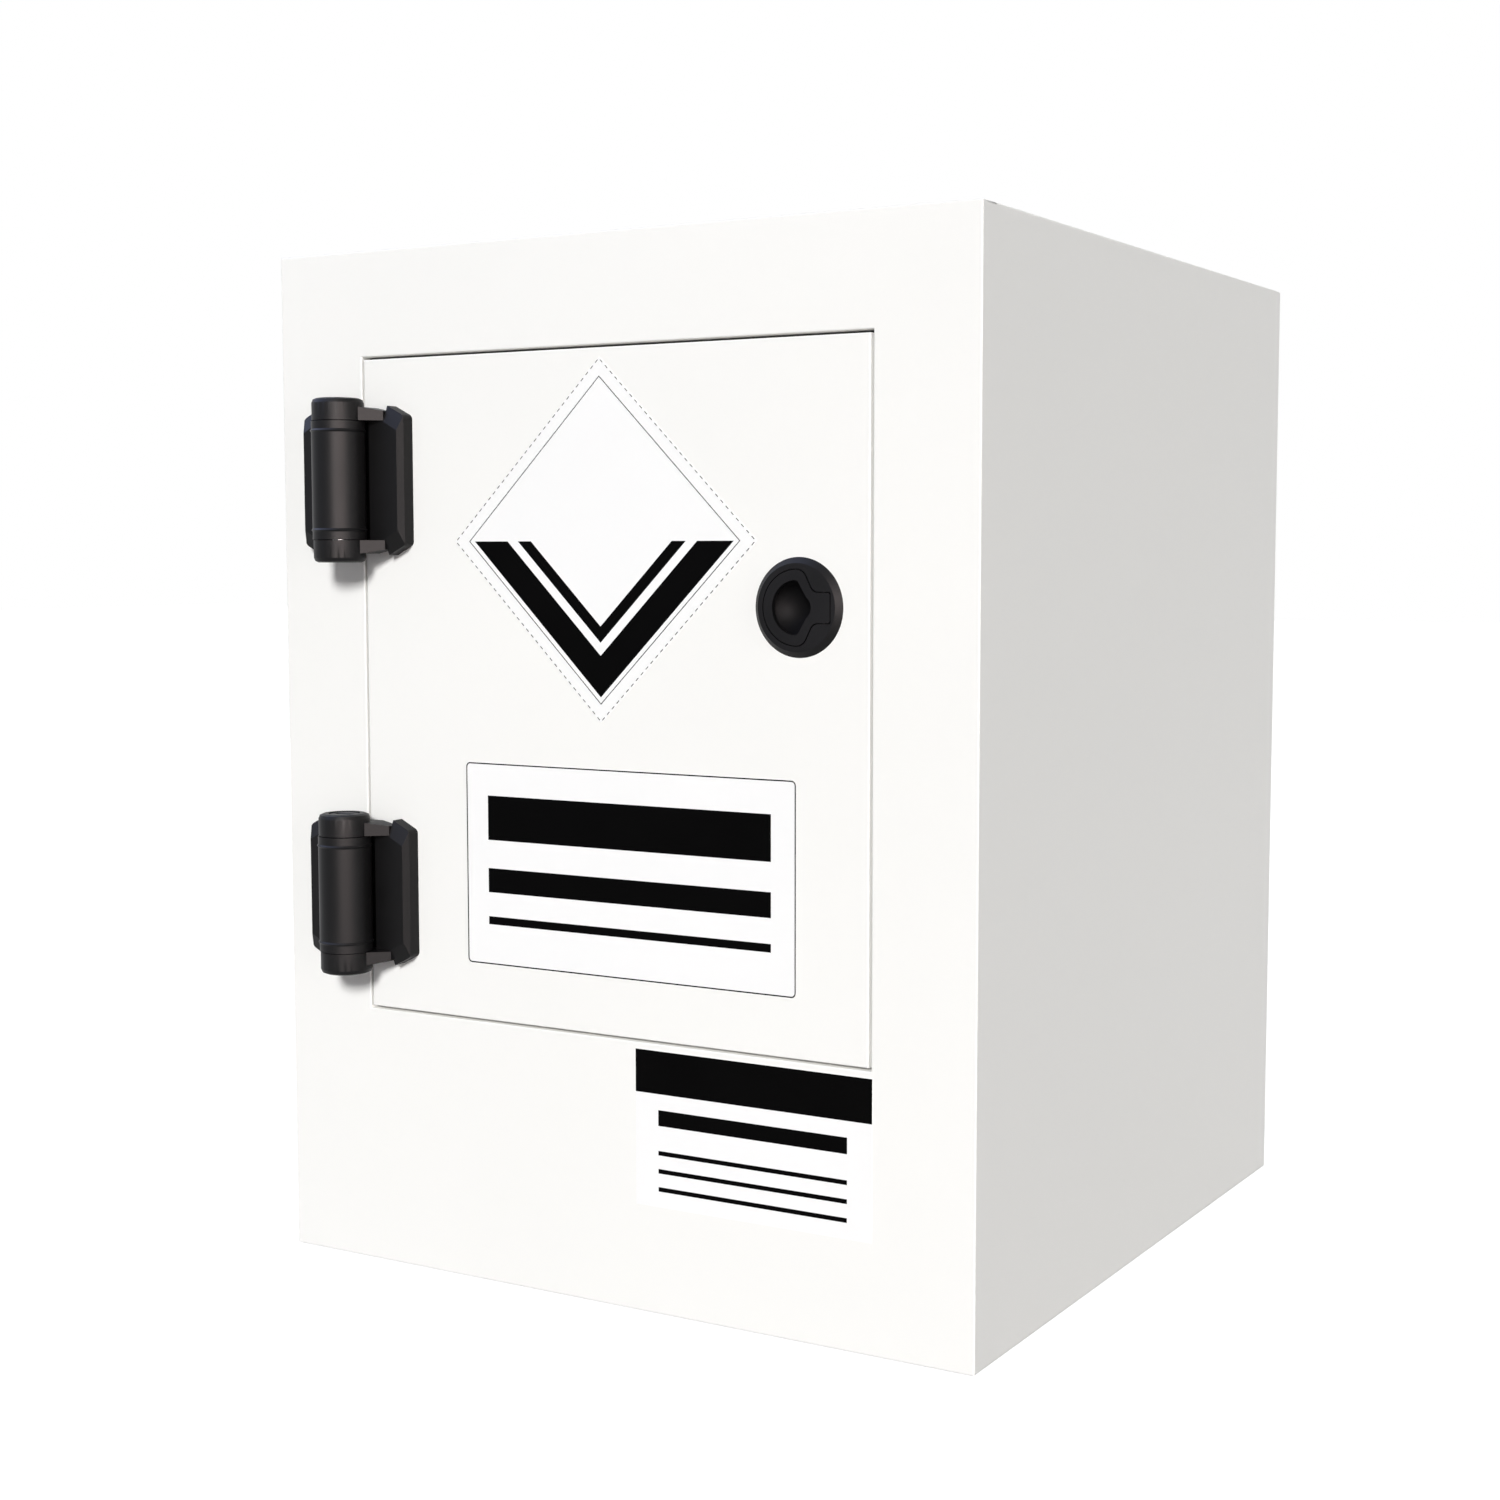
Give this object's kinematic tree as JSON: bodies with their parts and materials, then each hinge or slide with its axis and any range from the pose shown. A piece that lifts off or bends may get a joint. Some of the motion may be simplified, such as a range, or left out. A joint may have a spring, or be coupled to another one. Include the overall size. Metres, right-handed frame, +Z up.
{
  "type": "single-door bench cabinet",
  "caption": "Upright rectangular white plastic bench cabinet with one flush hinged door, a round flush pull latch, an inner shelf and a slotted sump floor.",
  "frame": {"origin": "centre of the underside of the base, on the surface the cabinet stands on", "axes": "+Z up along the cabinet's height, -Y out of the door, +X to the right as seen from the front"},
  "size_m": [0.43, 0.475, 0.56],
  "materials": {
    "pp_white": "satin white polypropylene sheet",
    "hinge_black": "satin black glass-filled nylon",
    "latch_black": "fine-grained black plastic",
    "bush_nylon": "natural nylon",
    "stainless": "plain stainless steel",
    "seal_rubber": "black sponge rubber"
  },
  "bodies": {
    "cabinet": {"front_frame": "pp_white", "left_side_panel": "pp_white", "right_side_panel": "pp_white", "top_panel": "pp_white", "base_panel": "pp_white", "back_panel": "pp_white", "door_stop_frame": "pp_white", "door_seal": "seal_rubber", "strike_plate": "stainless", "shelf_rest_left": "pp_white", "shelf_rest_right": "pp_white", "shelf": "pp_white", "grille_rest_left": "pp_white", "grille_rest_right": "pp_white", "grille_rest_middle": "pp_white", "sump_grille_left": "pp_white", "sump_grille_right": "pp_white", "hinge_upper_body_leaf": "hinge_black", "hinge_lower_body_leaf": "hinge_black", "hinge_upper_bush": "bush_nylon", "hinge_lower_bush": "bush_nylon", "hinge_upper_spring": "stainless", "hinge_lower_spring": "stainless"},
    "door": {"door_panel": "pp_white", "hinge_upper_door_leaf": "hinge_black", "hinge_lower_door_leaf": "hinge_black", "hinge_upper_pin": "stainless", "hinge_lower_pin": "stainless", "hinge_upper_adjuster": "hinge_black", "hinge_lower_adjuster": "hinge_black", "hinge_upper_door_screws": "stainless", "hinge_lower_door_screws": "stainless", "latch_housing": "latch_black", "latch_lock_ring": "latch_black", "latch_cover": "latch_black", "lever_pin": "stainless", "bolt_spring": "stainless"},
    "lever": {"latch_lever": "latch_black"},
    "bolt": {"latch_bolt": "stainless"}
  },
  "joints": [
    {"name": "door_swing", "type": "hinge", "parent": "cabinet", "child": "door", "pos_m": [-0.158, -0.24, 0.323], "axis": [0, 0, -1], "range_deg": [0, 180], "stiffness_Nm_per_rad": 0.3, "springref_deg": -85.94},
    {"name": "lever_pull", "type": "hinge", "parent": "door", "child": "lever", "pos_m": [0.1318, -0.2211, 0.3698], "axis": [0, 0, 1], "range_deg": [0, 30]},
    {"name": "bolt_slide", "type": "slide", "parent": "door", "child": "bolt", "axis": [-1, 0, 0], "range_m": [0, 0.011], "stiffness_N_per_m": 150, "springref_m": -0.006, "deforming": ["bolt_spring"]}
  ],
  "couplings": [
    {"joint": "lever_pull", "follows": "bolt_slide", "rad_per_m": 47.599}
  ]
}
